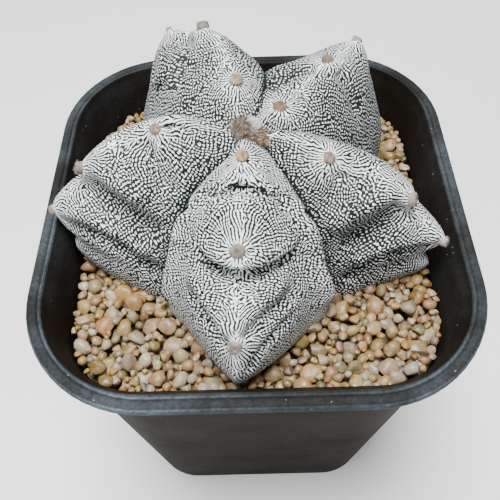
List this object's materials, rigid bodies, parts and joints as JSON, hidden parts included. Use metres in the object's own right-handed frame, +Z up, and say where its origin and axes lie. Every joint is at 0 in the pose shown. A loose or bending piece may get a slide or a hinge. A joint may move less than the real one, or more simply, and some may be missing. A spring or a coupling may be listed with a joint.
{
  "type": "potted cactus",
  "caption": "Ribbed star-shaped cactus with white flecked skin and felted areoles, growing in a tapered square pot with a rolled rim and a pebble top dressing.",
  "frame": {"origin": "middle of the pot's underside, at the height it stands on", "axes": "+Z up along the pot; +X to the viewer's right and -Y towards the viewer, square to the pot's sides"},
  "size_m": [0.1, 0.1054, 0.1369],
  "materials": {
    "pot": "satin black moulded plastic, dusty and lightly scuffed",
    "potting_mix": "damp, crumbly, dark brown",
    "gravel": "smooth, half-clear quartz pebbles in tan, amber and white",
    "cactus_body": "dark green skin under white felt flecks",
    "crown_wool": "grey-brown felt"
  },
  "bodies": {
    "root": {"pot": "pot", "potting_mix": "potting_mix", "gravel": "gravel", "cactus_body": "cactus_body", "crown_wool": "crown_wool"}
  },
  "joints": []
}
